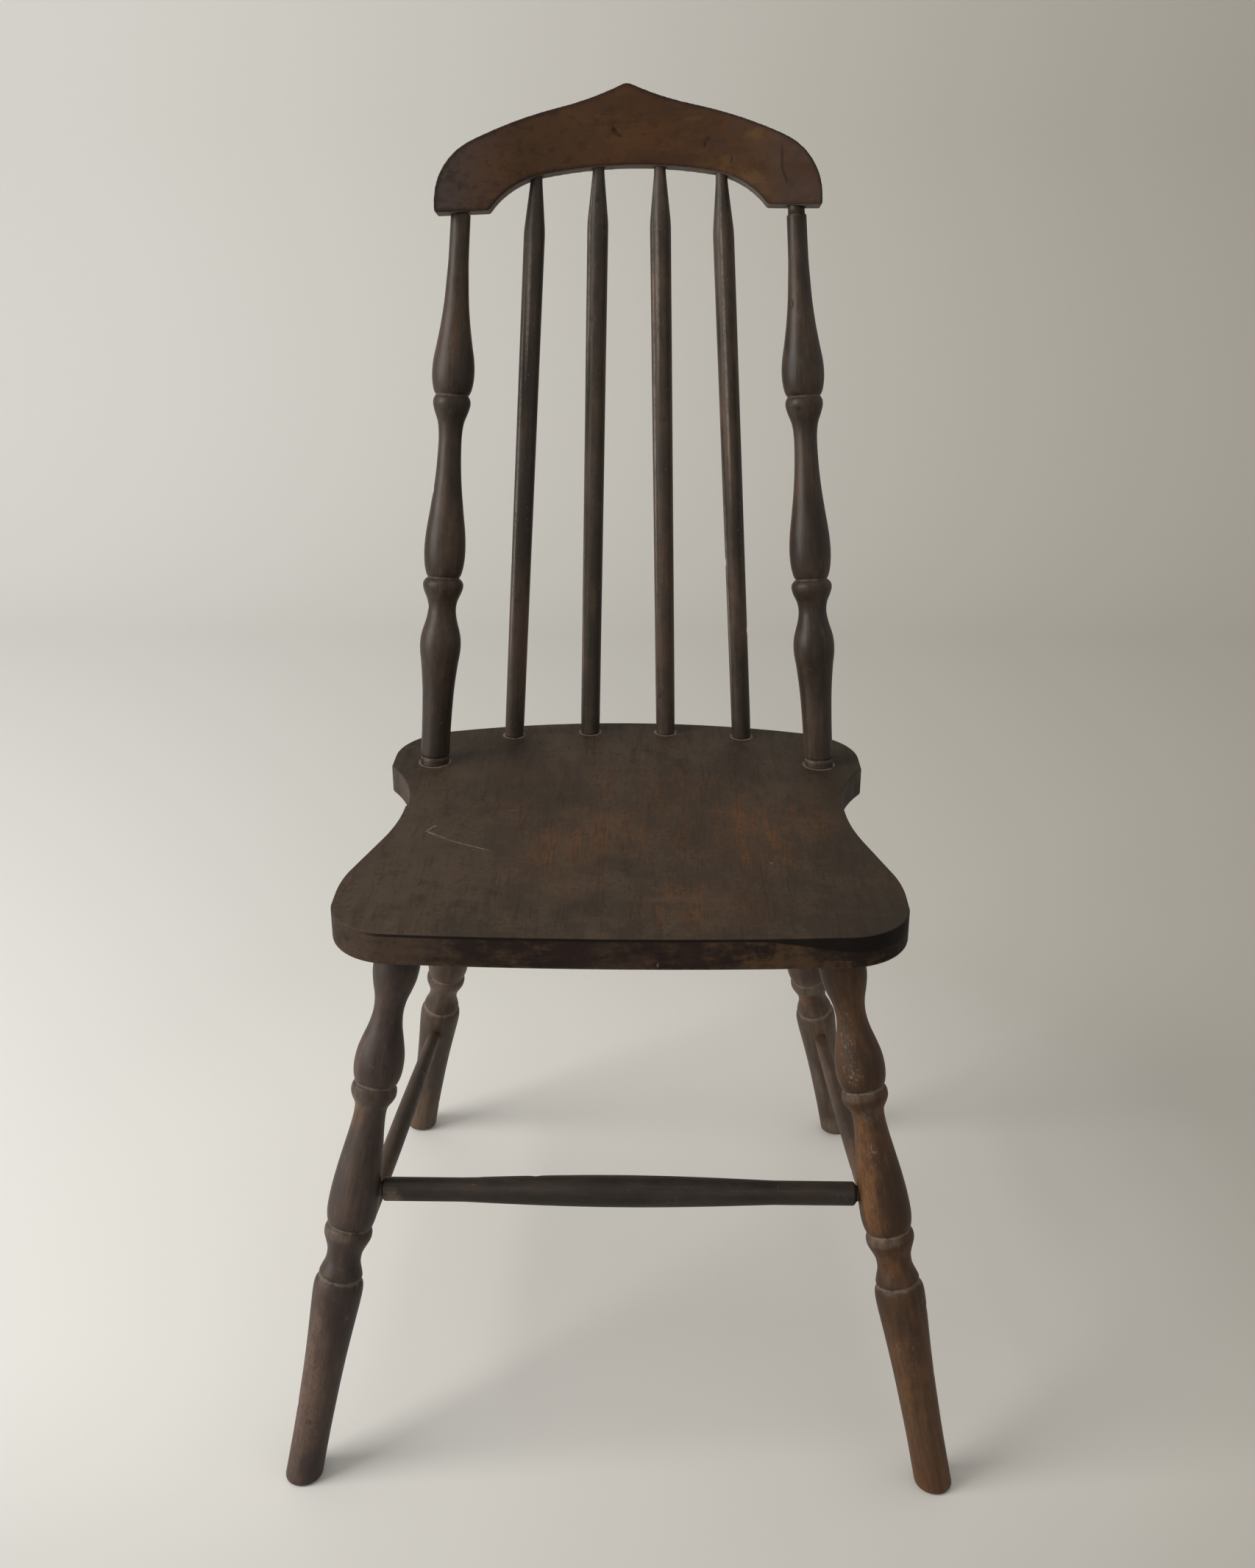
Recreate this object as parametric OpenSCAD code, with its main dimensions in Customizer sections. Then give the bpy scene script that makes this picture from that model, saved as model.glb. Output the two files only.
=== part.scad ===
// Spindle-back side chair, all wood: a shaped plank seat, four turned legs, three
// stretchers, two turned back posts, four slim spindles and a bowed crest rail.
// Every joint is a round tenon in a blind round socket. Millimetres, +Z up, the
// front of the chair looks along -Y, and the origin is on the floor under the
// middle of the chair's box.

/* [Seat] */
// Height of the seat's top face above the floor
seat_h = 441; // [360:1:540]
// Thickness of the seat plank
seat_t = 26; // [22:1:40]
// Width of the seat across its front corners
seat_w = 423; // [350:1:520]
// Depth of the seat from its front edge to the middle of its back edge
seat_d = 434; // [360:1:530]
// How far the front edge bows forward of its corners
front_bow = 5; // [1:0.5:12]
// Radius of the two front corners
front_corner_r = 50; // [30:1:70]
// How much narrower the waist is than the front, on each side
waist_inset = 31; // [20:1:40]
// Length of the tapering stretch of each side, in front of the waist
side_run = 161; // [120:1:175]
// Small step where the tapering side meets the waist, on each side
waist_step = 1.5; // [0:0.5:4]
// Distance of that step from the front edge
waist_y = 234; // [200:1:260]
// How far each rear lobe stands out from the waist
lobe_out = 25.5; // [15:0.5:35]
// Length of a rear lobe from its corner at the waist to the back edge
lobe_len = 113; // [100:1:130]
// Radius of a lobe's outer back corner
lobe_r = 64; // [45:1:75]
// Radius of the long curve of the back edge
back_edge_r = 550; // [450:10:900]

/* [Legs] */
// Front leg to the seat's side edge, at the underside
front_leg_in = 51.5; // [40:0.5:65]
// Front leg to the seat's front edge, at the underside
front_leg_back = 45; // [38:1:60]
// Rear leg to the rear lobe's outer edge, at the underside
rear_leg_in = 72.5; // [60:0.5:85]
// Rear leg to the seat's back edge, at the underside
rear_leg_fwd = 95; // [80:1:110]
// How far a front foot stands outside its socket
front_splay = 83; // [50:1:100]
// How far a front foot stands in front of its socket
front_rake = 98; // [60:1:120]
// How far a rear foot stands outside its socket
rear_splay = 80; // [50:1:100]
// How far a rear foot stands behind its socket
rear_rake = 87; // [60:1:120]
// Radius of the tenon at the top of a leg
leg_tenon_r = 11.5; // [9:0.5:13]

/* [Stretchers] */
// Place of the front stretcher up the front legs, measured on the leg gauge
front_stretcher_at = 238; // [225:1:250]
// Place of a side stretcher's front end, measured on the leg gauge
side_front_at = 150; // [140:1:156]
// Place of a side stretcher's back end, measured on the leg gauge
side_rear_at = 138; // [120:1:150]
// How much thicker the front stretcher's ends are than its tenons, in radius
front_step = 3.2; // [0.4:0.1:4]
// How much the front stretcher swells from its ends to its middle, in radius
front_swell = 2.9; // [0.5:0.1:5]
// Plain length at each end of the front stretcher before it swells
front_plain = 62; // [20:1:90]
// How much thicker a side stretcher's ends are than its tenons, in radius
side_step = 0.4; // [0.2:0.1:2]
// How much a side stretcher swells from its ends to its middle, in radius
side_swell = 2; // [0.5:0.1:4]
// Radius of every stretcher's tenons
stretcher_tenon_r = 5.8; // [4:0.1:7]
// Depth of a stretcher's socket in a leg
stretcher_socket = 22; // [15:0.5:26]

/* [Back] */
// Height of the back posts' shoulders above the seat
back_h = 454; // [360:1:550]
// Backward lean of the posts and the crest rail, in degrees
back_lean = 12.2; // [6:0.1:16]
// Post to the rear lobe's outer edge, at the seat
post_in = 36.5; // [30:0.5:45]
// Post to the seat's back edge, at the seat
post_fwd = 101.5; // [90:0.5:110]
// Post's axis at its shoulder to the end of the crest rail
post_end = 19.5; // [18:0.5:26]
// Radius of a post's tenon in the seat
post_seat_tenon_r = 11; // [8:0.5:12]
// Radius of a post's tenon in the crest rail
post_top_tenon_r = 7.1; // [5:0.1:7.5]
// Length of a post's tenon in the crest rail
post_top_tenon = 20; // [16:0.5:28]

/* [Spindles] */
// Distance between neighbouring spindles at the seat
spindle_seat_pitch = 69.6; // [55:0.1:75]
// Distance between neighbouring spindles at the crest rail
spindle_top_pitch = 52.2; // [45:0.1:60]
// Spindles to the seat's back edge
spindle_fwd = 23; // [18:0.5:30]
// Radius of a spindle just above the seat
spindle_low_r = 8.7; // [6:0.1:10]
// Radius of a spindle at its upper shoulder
spindle_high_r = 9.1; // [6:0.1:10]
// Radius of a spindle where it enters the crest rail
spindle_top_r = 5; // [4:0.1:6]
// Length of the cone between the shoulder and the crest rail
spindle_cone = 42; // [25:1:60]
// Radius of a spindle's tenon in the seat
spindle_tenon_r = 7.3; // [5:0.1:8]
// Length of a spindle's tenon in the crest rail
spindle_top_tenon = 16; // [10:0.5:20]

/* [Crest rail] */
// Width of the crest rail from end to end
crest_w = 319; // [265:1:390]
// Height of the crest rail's peak above its lower corners
crest_h = 109; // [95:0.5:130]
// Thickness of the bowed plank
crest_t = 20; // [18:0.5:26]
// How far the middle of the rail bows back behind the posts
crest_bow = 38; // [15:1:55]
// Height of the arch cut in the lower edge
arch_h = 43; // [30:0.5:48]
// Post's axis to the corner of the arch
arch_pad = 23; // [16:0.5:30]
// Rise of the lower edge from an end to the arch's corner
foot_rise = 4.5; // [0:0.5:8]
// Radius of the big outer curve at each end
crest_end_r = 60; // [45:1:75]
// Radius of the hollow on each side of the peak
hollow_r = 340; // [250:5:500]
// Rounding of the peak
peak_r = 8; // [4:0.5:15]
// How far the rail has worked up off the right post
crest_lift = 5.9; // [0:0.1:8]

/* [Fit] */
// Depth of the blind sockets in the seat
seat_socket = 19; // [14:0.5:20]
// Radial clearance of every tenon in its socket
fit = 0.1; // [0.05:0.05:0.3]
// Air left beyond the end of a tenon
end_gap = 1; // [0.5:0.5:2]

/* [Hidden] */
$fn = 64;
big = 2000;

dark_stain = [0.17, 0.14, 0.12];
worn_stain = [0.24, 0.18, 0.14];
red_stain = [0.26, 0.17, 0.12];

// Turner's gauges: [distance from the lower end, radius]. Each inner list is one smooth
// run of the profile, and the runs meet in the sharp bottom of an incised groove.
leg_gauge_len = 434;
leg_gauge = [
    [[-8, 14.1], [12, 14], [40, 14], [62, 14.4], [85, 15], [107, 15.9], [129, 17.2],
     [147, 18.4], [158, 18.8], [163, 18.3], [166, 17.3]],
    [[166, 17.3], [170, 16.6], [175, 15.1], [180, 13.5], [185, 13.1], [190, 13.7],
     [196, 15.9], [201, 17.8], [205, 18.1], [208, 17.3], [209.5, 16.2]],
    [[209.5, 16.2], [213, 17.6], [219, 18.7], [227, 19], [240, 18.4], [256, 16.8],
     [273, 14.6], [288, 12.7], [300, 11.9], [306, 12.6], [311, 15.4], [315, 17],
     [318.5, 17.1], [321, 16.6], [323, 15.4]],
    [[323, 15.4], [327, 16.9], [332, 18], [339, 18.4], [348, 17.7], [358, 15.4],
     [368, 12.7], [376, 11.4], [382, 11.2], [390, 12.2], [399, 14.8], [407, 16.6],
     [415, 17.2], [424, 16.7], [434, 15.4], [446, 14]]];

post_gauge_len = 466;
post_gauge = [
    [[-8, 12.3], [4, 12.5], [6, 12.1]],
    [[6, 12.1], [8, 12.6], [28, 12.7], [48, 13.2], [67, 14.1], [87, 16], [97, 17.4],
     [105, 17.8], [112, 17.2], [118, 15.8], [126, 13.5], [135, 12.1], [143, 13.1],
     [150, 16], [155, 17.4], [159, 17], [163, 14]],
    [[163, 14], [167, 15.5], [174, 17], [186, 17.8], [201, 17], [220, 14.5],
     [239, 12.1], [257, 10.6], [276, 9.9], [286, 10.1], [295, 11.3], [303, 14.1],
     [309, 15.8], [313, 15.9], [317.5, 14.3]],
    [[317.5, 14.3], [322, 16.2], [330, 17.7], [339, 18], [349, 17.1], [359, 15.3],
     [377, 12.5], [395, 10.5], [413, 9.4], [430, 8.6], [466, 8.3]]];

// Where the seat's front edge lies, so that the whole chair's box is centred on Y = 0.
foot_r = leg_gauge[0][1][1];
seat_y = -(seat_d - post_fwd + back_h * tan(back_lean)
           + (crest_bow + crest_t / 2) * cos(back_lean) + crest_h * sin(back_lean)
           + front_leg_back - front_rake - foot_r) / 2;
seat_bottom = seat_h - seat_t;

// Half widths of the seat at its front, waist and rear lobes.
front_half = seat_w / 2;
waist_half = front_half - waist_inset;
lobe_half = waist_half + lobe_out;
side_front_r = 150; // bend where the side starts to taper
side_back_r = 250; // bend where the taper runs into the waist
step_run = 2; // length over which the small step falls
lobe_y = seat_d - lobe_len;

// Crest rail: the arcs that make its outline, in its own flat plane.
crest_half = crest_w / 2;
post_mid = crest_half - post_end;
arch_half = post_mid - arch_pad;
shoulder_angle = 30; // slope where the end curve meets the top curve
crest_top_r = 300;
end_square = 7.5; // straight stub below the end curve
arch_mid_r = 330; // the arch's long middle curve
arch_flank = 45; // width of the tighter curve at each end of the arch
bow_r = (post_mid * post_mid + crest_bow * crest_bow) / (2 * crest_bow);
arch_mid_a = asin((arch_half - arch_flank) / arch_mid_r);
arch_join = [arch_half - arch_flank, arch_h - arch_mid_r * (1 - cos(arch_mid_a))];
arch_corner = [arch_half, foot_rise];
arch_way = arch_corner - arch_join;
arch_n = [sin(arch_mid_a), cos(arch_mid_a)];
flank_r = -(arch_way * arch_way) / (2 * (arch_way * arch_n));
flank_c = arch_join - flank_r * arch_n;
// Height of the lower edge over a post, above the rail's outer lower corner.
pad_z = foot_rise * post_end / (crest_half - arch_half);
crest_tilt = asin(crest_lift / (2 * post_mid));

shoulder_gap = 2; // between a leg's surface and the end of a stretcher's barrel
barrel_chamfer = 3; // length of the chamfer at each end of a barrel
side_plain = 4; // plain length at each end of a side stretcher's barrel
overlap = 12; // how far a tenon is drawn back into its own body
bore_past = 20; // how far a bore is drawn past the face that it opens in
seam = 60; // turn of each round piece about its axis, which keeps its start line off a slanted cut's tip

// Points along an arc of radius r about c, from angle a0 up to a1, where the next run starts.
function arc(c, r, a0, a1, n) =
    [for (i = [0:n - 1]) let (a = a0 + (a1 - a0) * i / n) c + r * [cos(a), sin(a)]];
// A right half that starts on the middle line, the far point on that line, and the left half.
function both_sides(right, far) =
    concat(right, [far], [for (i = [len(right) - 1:-1:1]) [-right[i][0], right[i][1]]]);

// Smooth curve through a run of gauge marks, about a ring every 3 mm.
function mark_slope(m, i) =
    let (a = max(i - 1, 0), b = min(i + 1, len(m) - 1)) (m[b][1] - m[a][1]) / (m[b][0] - m[a][0]);
function hermite(p, q, mp, mq, t) =
    let (h = q[0] - p[0], t2 = t * t, t3 = t2 * t)
    [p[0] + h * t,
     (2 * t3 - 3 * t2 + 1) * p[1] + (t3 - 2 * t2 + t) * h * mp
     + (3 * t2 - 2 * t3) * q[1] + (t3 - t2) * h * mq];
function run_points(m) =
    [for (i = [0:len(m) - 2])
        let (n = ceil((m[i + 1][0] - m[i][0]) / 3.2))
        for (k = [0:n - 1]) hermite(m[i], m[i + 1], mark_slope(m, i), mark_slope(m, i + 1), k / n)];
function gauge_points(gauge) =
    let (last = gauge[len(gauge) - 1])
    concat([for (m = gauge) each run_points(m)], [last[len(last) - 1]]);

// Radius of a gauge at a distance from its lower end, read off the marks.
function gauge_r(gauge, s) =
    [for (m = gauge) for (i = [0:len(m) - 2]) if (m[i][0] <= s && s < m[i + 1][0])
        m[i][1] + (m[i + 1][1] - m[i][1]) * (s - m[i][0]) / (m[i + 1][0] - m[i][0])][0];

// The seat's outline: right side from the middle of the front edge to the back edge.
function seat_right() =
    let (flat_half = front_half - front_corner_r,
         front_r = (flat_half * flat_half + front_bow * front_bow) / (2 * front_bow),
         corner_c = [flat_half, front_r - sqrt(pow(front_r - front_corner_r, 2) - flat_half * flat_half)],
         corner_a = atan2(corner_c[1] - front_r, flat_half),
         shrink = waist_inset - waist_step,
         bends = side_front_r + side_back_r,
         bend_sum = min(bends, 0.97 * (side_run * side_run + shrink * shrink) / (2 * shrink)),
         ramp = sqrt(pow(bend_sum - shrink, 2) + side_run * side_run - bend_sum * bend_sum),
         side_a = atan2(side_run, bend_sum - shrink) - atan2(ramp, bend_sum),
         front_bend = side_front_r * bend_sum / bends,
         back_bend = side_back_r * bend_sum / bends,
         waist_r = (lobe_out * lobe_out + pow(lobe_y - waist_y, 2)) / (2 * lobe_out),
         waist_a = asin((lobe_y - waist_y) / waist_r),
         lobe_x = lobe_half - lobe_r,
         lobe_c = [lobe_x, seat_d - back_edge_r + sqrt(pow(back_edge_r - lobe_r, 2) - lobe_x * lobe_x)],
         back_a = atan2(lobe_c[1] - seat_d + back_edge_r, lobe_x))
    concat(
        arc([0, front_r], front_r, -90, corner_a, 5),
        arc(corner_c, front_corner_r, corner_a, 0, 14),
        arc([front_half - front_bend, waist_y - side_run], front_bend, 0, side_a, 6),
        arc([waist_half + waist_step + back_bend, waist_y], back_bend, 180 + side_a, 180, 8),
        [[waist_half + waist_step, waist_y]],
        arc([waist_half + waist_r, waist_y + step_run], waist_r, 180, 180 - waist_a, 10),
        [[lobe_half, lobe_y + step_run]],
        arc(lobe_c, lobe_r, 0, back_a, 15),
        arc([0, seat_d - back_edge_r], back_edge_r, back_a, 90, 7));

module seat_blank() {
    translate([0, seat_y, seat_bottom])
        linear_extrude(seat_t) polygon(both_sides(seat_right(), [0, seat_d]));
}

// The crest rail's outline: right side from the arch's top, round the end, to the peak.
// The hollow is the arc that touches both the top curve and the rounding of the peak.
function crest_right() =
    let (end_c = [crest_half - crest_end_r, end_square],
         top_c = end_c + (crest_end_r - crest_top_r) * [sin(shoulder_angle), cos(shoulder_angle)],
         peak_c = [0, crest_h - peak_r],
         reach = norm(peak_c - top_c),
         to_top = crest_top_r + hollow_r,
         to_peak = peak_r + hollow_r,
         lean = acos((to_top * to_top + reach * reach - to_peak * to_peak) / (2 * to_top * reach)),
         hollow_a = atan2(peak_c[0] - top_c[0], peak_c[1] - top_c[1]) + lean,
         hollow_c = top_c + to_top * [sin(hollow_a), cos(hollow_a)],
         peak_a = atan2(hollow_c[0], hollow_c[1] - peak_c[1]),
         corner_a = atan2(arch_corner[1] - flank_c[1], arch_corner[0] - flank_c[0]))
    concat(
        arc([0, arch_h - arch_mid_r], arch_mid_r, 90, 90 - arch_mid_a, 8),
        arc(flank_c, flank_r, 90 - arch_mid_a, corner_a, 9),
        [arch_corner, [crest_half, 0]],
        arc(end_c, crest_end_r, 0, 90 - shoulder_angle, 14),
        arc(top_c, crest_top_r, 90 - shoulder_angle, 90 - hollow_a, 8),
        arc(hollow_c, hollow_r, 270 - hollow_a, 270 - peak_a, 6),
        arc(peak_c, peak_r, 90 - peak_a, 90, 4));

module crest_outline() {
    polygon(both_sides(crest_right(), [0, crest_h]));
}

// A point of the crest rail's own frame moved to its place on the chair.
crest_origin = [0, seat_y + seat_d - post_fwd + back_h * tan(back_lean), seat_h + back_h];
module on_back() {
    translate(crest_origin) rotate([-back_lean, 0, 0])
        translate([-post_mid, 0, 0]) rotate([0, -crest_tilt, 0]) translate([post_mid, 0, -pad_z])
            children();
}
function back_point(p) = // without the lift: the place the rail was fitted in
    crest_origin + [p[0], p[1] * cos(back_lean) + (p[2] - pad_z) * sin(back_lean),
                    -p[1] * sin(back_lean) + (p[2] - pad_z) * cos(back_lean)];

module crest_blank() {
    on_back() intersection() {
        translate([0, crest_bow + crest_t, 0]) rotate([90, 0, 0]) linear_extrude(bow_r) crest_outline();
        translate([0, crest_bow - bow_r, -crest_h]) difference() {
            cylinder(r = bow_r + crest_t / 2, h = 3 * crest_h, $fn = 180);
            translate([0, 0, -1]) cylinder(r = bow_r - crest_t / 2, h = 3 * crest_h + 2, $fn = 180);
        }
    }
}

// Puts +Z along the line from a to b, with the origin at a.
module along(a, b) {
    d = b - a;
    translate(a) rotate([0, acos(d[2] / norm(d)), atan2(d[1], d[0])]) rotate([0, 0, seam]) children();
}

// A turned piece from a gauge, stretched evenly to its real length.
module turned(gauge, gauge_len, real_len) {
    points = [for (p = gauge_points(gauge)) [p[1], p[0] * real_len / gauge_len]];
    first = points[0];
    last = points[len(points) - 1];
    rotate_extrude() polygon(concat([[0, first[1]]], points, [[0, last[1]]]));
}

module above(z) { translate([-big / 2, -big / 2, z]) cube(big); }
module below(z) { translate([-big / 2, -big / 2, z - big]) cube(big); }

// Legs. The right-hand ones, on +X, are drawn and the left-hand ones are their mirror images.
function leg_top(front) = front
    ? [front_half - front_leg_in, seat_y + front_leg_back, seat_bottom]
    : [lobe_half - rear_leg_in, seat_y + seat_d - rear_leg_fwd, seat_bottom];
function leg_foot(front) = front
    ? [leg_top(true)[0] + front_splay, leg_top(true)[1] - front_rake, 0]
    : [leg_top(false)[0] + rear_splay, leg_top(false)[1] + rear_rake, 0];
function leg_len(front) = norm(leg_top(front) - leg_foot(front));
// A point on a leg's axis, at a distance read on the leg gauge.
function leg_at(front, s) = leg_foot(front) + (leg_top(front) - leg_foot(front)) * s / leg_gauge_len;
function mirrored(p) = [-p[0], p[1], p[2]];
front_hole = leg_at(true, front_stretcher_at);
side_hole_front = leg_at(true, side_front_at);
side_hole_rear = leg_at(false, side_rear_at);

// Length of a tenon that leans from a to b and goes a given depth below or above a face.
function slant(a, b, depth) = depth * norm(b - a) / abs(b[2] - a[2]);

module leg(front) {
    foot = leg_foot(front);
    top = leg_top(front);
    deep = slant(foot, top, seat_socket - end_gap);
    difference() {
        union() {
            difference() {
                along(foot, top) turned(leg_gauge, leg_gauge_len, leg_len(front));
                above(seat_bottom);
                below(0);
            }
            along(foot, top) translate([0, 0, leg_len(front) - overlap])
                cylinder(r = leg_tenon_r, h = overlap + deep);
        }
        if (front) stretcher_bore(front_hole, mirrored(front_hole), front_stretcher_at);
        if (front) stretcher_bore(side_hole_front, side_hole_rear, side_front_at);
        if (!front) stretcher_bore(side_hole_rear, side_hole_front, side_rear_at);
    }
}

// A blind socket in a leg for the stretcher that runs from axis point a to axis point b.
function tenon_reach(s) = gauge_r(leg_gauge, s) - stretcher_socket; // socket end, from the leg's axis
module stretcher_bore(a, b, s) {
    along(a, b) translate([0, 0, tenon_reach(s)])
        cylinder(r = stretcher_tenon_r + fit, h = stretcher_socket + bore_past);
}

// A stretcher between two axis points: a barrel with a swelled middle and a tenon at each
// end. sa and sb are the ends' places on the leg gauge, step what the barrel's ends stand
// proud of the tenons, rise what the middle adds, and plain the length before the swell.
module stretcher(a, b, sa, sb, step, rise, plain) {
    span = norm(b - a);
    end_r = stretcher_tenon_r + step;
    from = gauge_r(leg_gauge, sa) + shoulder_gap;
    to = span - gauge_r(leg_gauge, sb) - shoulder_gap;
    swell_len = to - from - 2 * plain;
    swell = [for (t = [0:1/16:1]) [end_r + rise * sin(180 * t), from + plain + swell_len * t]];
    along(a, b) {
        rotate_extrude() polygon(concat(
            [[0, from], [stretcher_tenon_r, from], [end_r, from + barrel_chamfer]],
            swell,
            [[end_r, to - barrel_chamfer], [stretcher_tenon_r, to], [0, to]]));
        translate([0, 0, tenon_reach(sa) + end_gap])
            cylinder(r = stretcher_tenon_r, h = span - tenon_reach(sa) - tenon_reach(sb) - 2 * end_gap);
    }
}

// Back posts: axis from the seat's top face to the shoulder under the crest rail.
function post_base(side) = [side * (lobe_half - post_in), seat_y + seat_d - post_fwd, seat_h];
function post_top(side) = crest_origin + [side * post_mid, 0, 0];
post_len = norm(post_top(1) - post_base(1));

module back_post(side) {
    base = post_base(side);
    top = post_top(side);
    deep = slant(base, top, seat_socket - end_gap);
    difference() {
        along(base, top) turned(post_gauge, post_gauge_len, post_len);
        below(seat_h);
        crest_blank();
    }
    along(base, top) translate([0, 0, -deep]) cylinder(r = post_seat_tenon_r, h = deep + overlap);
    along(base, top) translate([0, 0, post_len - overlap])
        cylinder(r = post_top_tenon_r, h = overlap + post_top_tenon);
}

// Spindles: place k counts from the left, -1.5, -0.5, 0.5 and 1.5 pitches from the middle.
function spindle_base(k) =
    let (x = k * spindle_seat_pitch)
    [x, seat_y + seat_d - back_edge_r + sqrt(pow(back_edge_r - spindle_fwd, 2) - x * x), seat_h];
// Height of the arch's edge at x, in the rail's own frame.
function arch_z(x) = abs(x) < arch_join[0]
    ? arch_h - arch_mid_r + sqrt(arch_mid_r * arch_mid_r - x * x)
    : flank_c[1] + sqrt(flank_r * flank_r - pow(abs(x) - flank_c[0], 2));
function spindle_head(k) =
    let (x = k * spindle_top_pitch)
    back_point([x, crest_bow - bow_r + sqrt(bow_r * bow_r - x * x), arch_z(x)]);

module spindle(k) {
    base = spindle_base(k);
    head = spindle_head(k);
    len = norm(head - base);
    deep = slant(base, head, seat_socket - end_gap);
    difference() {
        along(base, head) rotate_extrude() polygon([
            [0, -overlap], [spindle_low_r, -overlap], [spindle_low_r, 0],
            [spindle_high_r, len - spindle_cone], [spindle_top_r, len],
            [spindle_top_r, len + spindle_top_tenon], [0, len + spindle_top_tenon]]);
        below(seat_h);
    }
    along(base, head) translate([0, 0, -deep]) cylinder(r = spindle_tenon_r, h = deep + overlap / 2);
}

// A socket in the seat's top or underside for a piece whose axis runs from a to b.
module seat_bore(a, b, r) {
    deep = slant(a, b, seat_socket);
    along(a, b) translate([0, 0, -deep]) cylinder(r = r + fit, h = deep + bore_past);
}

module seat() {
    color(worn_stain) difference() {
        seat_blank();
        for (side = [-1, 1]) seat_bore(post_base(side), post_top(side), post_seat_tenon_r);
        for (front = [true, false]) {
            seat_bore(leg_top(front), leg_foot(front), leg_tenon_r);
            mirror([1, 0, 0]) seat_bore(leg_top(front), leg_foot(front), leg_tenon_r);
        }
        for (k = [-1.5:1:1.5]) seat_bore(spindle_base(k), spindle_head(k), spindle_tenon_r);
    }
}

// A socket in the crest rail for a piece that runs from a up to b, where the rail begins.
module rail_bore(a, b, r, tenon) {
    along(a, b) translate([0, 0, norm(b - a) - bore_past])
        cylinder(r = r + fit, h = bore_past + tenon + end_gap);
}

module crest_rail() {
    color(red_stain) difference() {
        crest_blank();
        for (side = [-1, 1])
            rail_bore(post_base(side), post_top(side), post_top_tenon_r, post_top_tenon);
        for (k = [-1.5:1:1.5])
            rail_bore(spindle_base(k), spindle_head(k), spindle_top_r, spindle_top_tenon);
    }
}

module back_post_left() { color(dark_stain) back_post(-1); }
module back_post_right() { color(dark_stain) back_post(1); }
module spindle_1() { color(dark_stain) spindle(-1.5); }
module spindle_2() { color(dark_stain) spindle(-0.5); }
module spindle_3() { color(dark_stain) spindle(0.5); }
module spindle_4() { color(dark_stain) spindle(1.5); }
module leg_front_left() { color(worn_stain) mirror([1, 0, 0]) leg(true); }
module leg_front_right() { color(worn_stain) leg(true); }
module leg_rear_left() { color(worn_stain) mirror([1, 0, 0]) leg(false); }
module leg_rear_right() { color(worn_stain) leg(false); }
module stretcher_front() {
    color(dark_stain) stretcher(mirrored(front_hole), front_hole, front_stretcher_at, front_stretcher_at,
                                front_step, front_swell, front_plain);
}
module stretcher_right() {
    color(dark_stain) stretcher(side_hole_front, side_hole_rear, side_front_at, side_rear_at,
                                side_step, side_swell, side_plain);
}
module stretcher_left() { mirror([1, 0, 0]) stretcher_right(); }

seat();
crest_rail();
back_post_left();
back_post_right();
spindle_1();
spindle_2();
spindle_3();
spindle_4();
leg_front_left();
leg_front_right();
leg_rear_left();
leg_rear_right();
stretcher_front();
stretcher_left();
stretcher_right();
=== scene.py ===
import math

import bpy
import numpy as np
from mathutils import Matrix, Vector, kdtree, noise


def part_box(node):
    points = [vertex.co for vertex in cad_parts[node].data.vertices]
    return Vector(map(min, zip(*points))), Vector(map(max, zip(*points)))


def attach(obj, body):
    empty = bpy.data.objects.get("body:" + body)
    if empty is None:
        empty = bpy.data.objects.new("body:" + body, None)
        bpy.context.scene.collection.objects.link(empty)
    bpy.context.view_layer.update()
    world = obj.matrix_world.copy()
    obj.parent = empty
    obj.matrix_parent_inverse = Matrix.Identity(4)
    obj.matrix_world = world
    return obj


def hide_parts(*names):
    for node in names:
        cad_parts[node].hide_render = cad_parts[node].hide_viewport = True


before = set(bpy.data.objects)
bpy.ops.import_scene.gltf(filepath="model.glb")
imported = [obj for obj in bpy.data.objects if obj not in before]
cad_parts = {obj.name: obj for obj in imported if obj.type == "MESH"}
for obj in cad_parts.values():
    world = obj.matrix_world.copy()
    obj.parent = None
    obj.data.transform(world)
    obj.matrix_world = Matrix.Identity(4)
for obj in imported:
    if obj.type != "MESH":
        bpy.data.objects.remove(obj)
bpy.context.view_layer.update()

# Camera and room. The chair stands on a sheet of pale paper that runs up behind it, lit
# softly from the left as by a tall window, with the rest of the room giving a weak fill.
scene = bpy.context.scene
scene.view_settings.view_transform = "Standard"
bpy.ops.object.select_all(action="DESELECT")
bpy.ops.object.camera_add(
    location=(0.0247, -1.2717, 0.9957),
    rotation=(math.radians(67.5), 0, math.radians(0.98)),
)
camera = bpy.context.object
camera.name = "camera"
camera.data.sensor_fit = "HORIZONTAL"
camera.data.sensor_width = 36
camera.data.lens = 48.53
scene.camera = camera


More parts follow.
